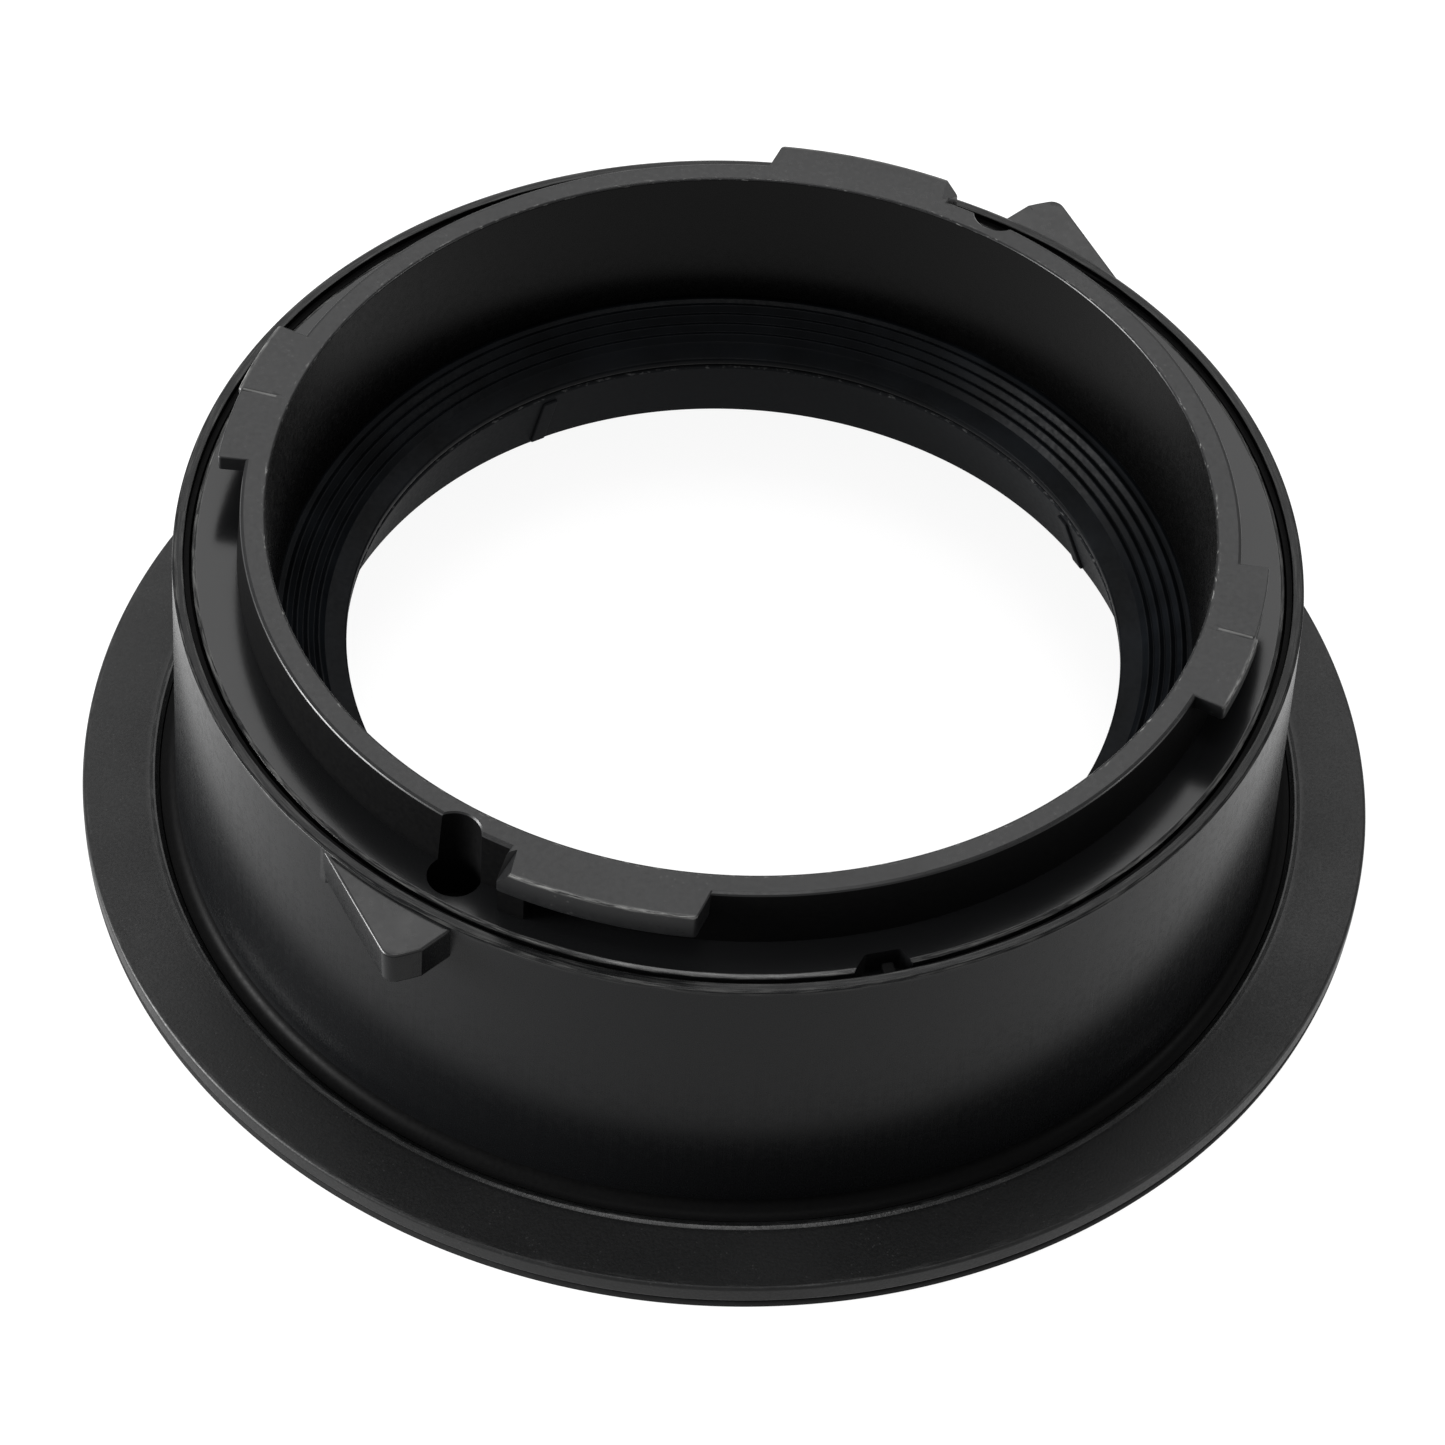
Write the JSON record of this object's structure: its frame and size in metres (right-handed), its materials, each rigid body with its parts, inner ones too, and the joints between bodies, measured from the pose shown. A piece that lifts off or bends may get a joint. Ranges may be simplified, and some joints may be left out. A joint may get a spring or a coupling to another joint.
{
  "type": "toilet flange",
  "caption": "Round floor flange whose tall hub carries a twist-lock collar with outward lugs; a ribbed seal and a clamp ring inside the bore grip the waste pipe.",
  "frame": {"origin": "on the bore's axis, at the underside of the base gasket", "axes": "+Z along the bore towards the bayonet collar; +Y from the front lock lug side towards the back"},
  "size_m": [0.1784, 0.1784, 0.0556],
  "materials": {
    "flange_ring": "satin, finely grained black",
    "base_gasket": "matt black closed-cell rubber",
    "hub": "glossy black",
    "bayonet_collar": "semi-gloss black, worn bright along the edges",
    "collar_o_ring": "matt black",
    "throat_seal": "smooth bluish black rubber",
    "retaining_ring": "satin dark grey"
  },
  "bodies": {
    "flange": {"flange_ring": "flange_ring", "base_gasket": "base_gasket"},
    "hub_assembly": {"hub": "hub", "bayonet_collar": "bayonet_collar", "collar_o_ring": "collar_o_ring", "throat_seal": "throat_seal"},
    "retainer": {"retaining_ring": "retaining_ring"}
  },
  "joints": [
    {"name": "hub_swivel", "type": "hinge", "parent": "flange", "child": "hub_assembly", "pos_m": [0, 0, 0.0038], "axis": [0, 0, 1], "continuous": true},
    {"name": "retainer_lock", "type": "hinge", "parent": "hub_assembly", "child": "retainer", "pos_m": [0, 0, 0.0177], "axis": [0, 0, 1], "range_deg": [-18, 0]}
  ]
}
